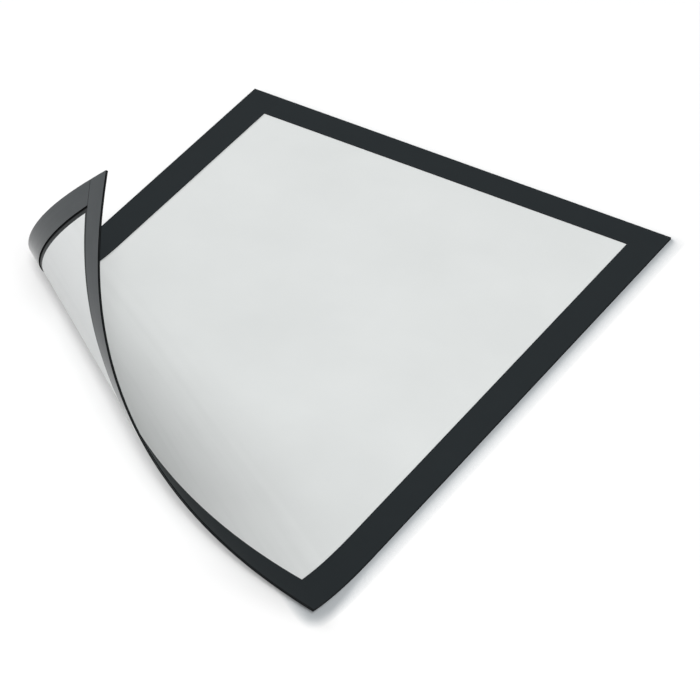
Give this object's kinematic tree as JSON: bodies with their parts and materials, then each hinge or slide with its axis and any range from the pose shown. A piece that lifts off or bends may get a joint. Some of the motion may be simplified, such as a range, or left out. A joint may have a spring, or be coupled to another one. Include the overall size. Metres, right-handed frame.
{
  "type": "magnetic sign frame",
  "caption": "Flat sign frame for one sheet: a dark foil border round a frosted window, held to steel by rubber magnet strips on its rear, lying down with one corner rolled up.",
  "frame": {"origin": "middle of the rolled sheet's footprint, on the surface that the magnets lie on", "axes": "+Y towards the top edge of the portrait sheet, +X towards its right edge, +Z out of its front"},
  "size_m": [0.2364, 0.3226, 0.1163],
  "materials": {
    "border_foil": "matte anthracite foil",
    "clear_glue": "clear glue film",
    "frosted_film": "frosted film, satin",
    "magnet_rubber": "magnetic rubber, satin",
    "strip_tape": "double-sided tape"
  },
  "bodies": {
    "root": {"front_border": "border_foil", "border_glue": "clear_glue", "window_film": "frosted_film", "magnet_strip_top": "magnet_rubber", "magnet_strip_bottom": "magnet_rubber", "magnet_strip_left": "magnet_rubber", "magnet_strip_right": "magnet_rubber", "strip_tape_top": "strip_tape", "strip_tape_bottom": "strip_tape", "strip_tape_left": "strip_tape", "strip_tape_right": "strip_tape"}
  },
  "joints": []
}
